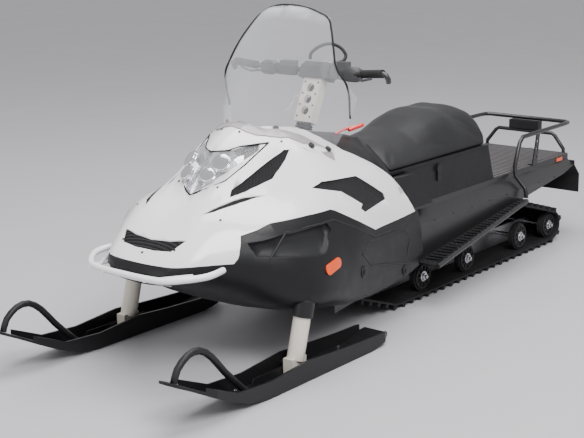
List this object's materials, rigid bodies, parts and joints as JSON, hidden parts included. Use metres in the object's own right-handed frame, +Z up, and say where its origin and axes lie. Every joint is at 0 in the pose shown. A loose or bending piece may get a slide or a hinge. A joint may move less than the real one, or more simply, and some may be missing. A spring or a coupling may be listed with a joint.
{
  "type": "snowmobile",
  "caption": "Wide-track utility snowmobile with raked struts and skis, clear windshield, long seat over a storage box, cargo deck with tube rack and one drive track.",
  "frame": {"origin": "on the ground under the middle of the vehicle's length and width", "axes": "+X forward along the vehicle, +Y to the rider's left, +Z up"},
  "size_m": [3.32, 1.05, 1.336],
  "materials": {
    "frame_black": "satin powder coat",
    "deck_grey": "ribbed matte",
    "engine_grey": "cast",
    "track_rubber": "matte",
    "rail_silver": "extruded",
    "wheel_black": "moulded",
    "axle_steel": "turned",
    "shock_red": "gloss",
    "pan_black": "satin moulded",
    "hood_white": "gloss",
    "mesh_black": "perforated mesh",
    "lens_clear": "clear",
    "reflector_silver": "faceted mirror",
    "bumper_white": "gloss",
    "screen_clear": "clear sheet",
    "flange_grey": "smoked",
    "lamp_black": "satin",
    "lens_red": "clear red",
    "flap_rubber": "flexible",
    "hitch_steel": "zinc",
    "reflector_amber": "prismatic",
    "seat_vinyl": "grained vinyl",
    "post_cream": "satin",
    "bar_black": "gloss",
    "grip_rubber": "ribbed",
    "cover_grey": "satin",
    "hose_black": "braided cover",
    "strut_cream": "gloss",
    "ski_black": "satin moulded",
    "loop_black": "moulded"
  },
  "bodies": {
    "root": {"tunnel": "frame_black", "cargo_deck": "deck_grey", "running_boards": "frame_black", "front_frame": "frame_black", "engine_block": "engine_grey", "track_belt": "track_rubber", "slide_rails": "rail_silver", "bogie_wheels": "wheel_black", "skid_axles": "axle_steel", "drive_axle": "axle_steel", "suspension_arms": "frame_black", "skid_shocks": "shock_red", "belly_pan": "pan_black", "hood": "hood_white", "side_panels": "pan_black", "hood_vents": "mesh_black", "nose_grille": "mesh_black", "headlight_lens": "lens_clear", "headlight_reflector": "reflector_silver", "front_bumper": "bumper_white", "windshield": "screen_clear", "windshield_flange": "flange_grey", "console": "pan_black", "post_bellows": "pan_black", "strut_housings": "pan_black", "storage_box": "pan_black", "seat_latch": "pan_black", "seat_hinge": "frame_black", "cargo_rack": "frame_black", "rear_hoop": "frame_black", "rack_brackets": "frame_black", "tail_light": "lamp_black", "tail_lens": "lens_red", "snow_flap": "flap_rubber", "tow_hitch": "hitch_steel", "reflectors": "reflector_amber"},
    "seat_lid": {"seat_cushion": "seat_vinyl", "seat_base": "pan_black"},
    "steering": {"steering_post": "post_cream", "handlebar": "bar_black", "grips": "grip_rubber", "post_cover": "cover_grey", "control_blocks": "cover_grey", "handlebar_hose": "hose_black"},
    "ski_left_body": {"strut_left": "strut_cream", "ski_left": "ski_black", "ski_loop_left": "loop_black"},
    "ski_right_body": {"strut_right": "strut_cream", "ski_right": "ski_black", "ski_loop_right": "loop_black"}
  },
  "joints": [
    {"name": "steer", "type": "hinge", "parent": "root", "child": "steering", "pos_m": [0.314, 0, 0.836], "axis": [-0.4115, 0, 0.9114], "range_deg": [-25, 25]},
    {"name": "ski_left_turn", "type": "hinge", "parent": "root", "child": "ski_left_body", "pos_m": [0.955, 0.45, 0.06], "axis": [-0.2756, 0, 0.9613], "range_deg": [-26, 26]},
    {"name": "ski_right_turn", "type": "hinge", "parent": "root", "child": "ski_right_body", "pos_m": [0.955, -0.45, 0.06], "axis": [-0.2756, 0, 0.9613], "range_deg": [-26, 26]},
    {"name": "seat_tilt", "type": "hinge", "parent": "root", "child": "seat_lid", "pos_m": [-0.4, -0.263, 0.5983], "axis": [1, 0, 0], "range_deg": [0, 65]}
  ],
  "couplings": [
    {"joint": "ski_left_turn", "follows": "steer", "ratio": 1},
    {"joint": "ski_right_turn", "follows": "steer", "ratio": 1}
  ]
}
